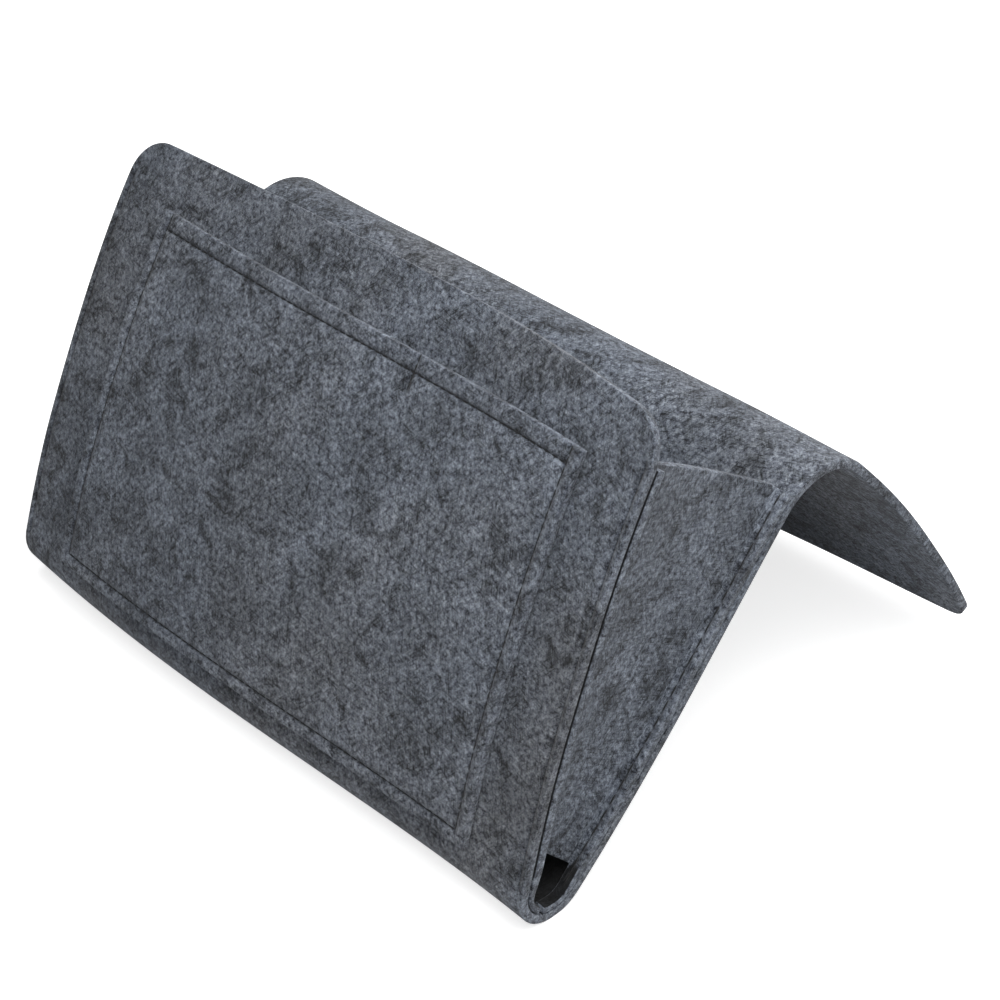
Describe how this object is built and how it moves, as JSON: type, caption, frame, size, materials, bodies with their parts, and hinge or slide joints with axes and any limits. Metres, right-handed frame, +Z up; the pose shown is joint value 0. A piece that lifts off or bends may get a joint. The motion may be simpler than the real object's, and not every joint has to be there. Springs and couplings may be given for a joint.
{
  "type": "bedside caddy",
  "caption": "Felt bedside caddy: a gusseted pouch with a patch pocket on its front, and a bent flap that goes under the mattress and holds it up.",
  "frame": {"origin": "on the floor under the middle of the whole, as it stands like a tent on its bottom fold and the free edge of its flap", "axes": "+X along the width, +Y from the front panel towards the flap, +Z up"},
  "size_m": [0.27, 0.2264, 0.1631],
  "materials": {
    "felt": "mottled grey needle felt, matt, with loose fibres on its surface"
  },
  "bodies": {
    "back": {"back_panel": "felt", "bottom_fold": "felt", "top_bend": "felt", "gusset_left": "felt", "gusset_right": "felt"},
    "front": {"front_panel": "felt", "pocket_patch": "felt"},
    "flap": {"insert_flap": "felt"}
  },
  "joints": [
    {"name": "front_open", "type": "hinge", "parent": "back", "child": "front", "pos_m": [0, -0.09696, 0.01398], "axis": [1, 0, 0], "range_deg": [-20, 2], "deforming": ["bottom_fold", "gusset_left", "gusset_right"]},
    {"name": "flap_fold", "type": "hinge", "parent": "back", "child": "flap", "pos_m": [0, 0.01852, 0.11649], "axis": [1, 0, 0], "range_deg": [-70, 93.8], "deforming": ["top_bend"]}
  ]
}
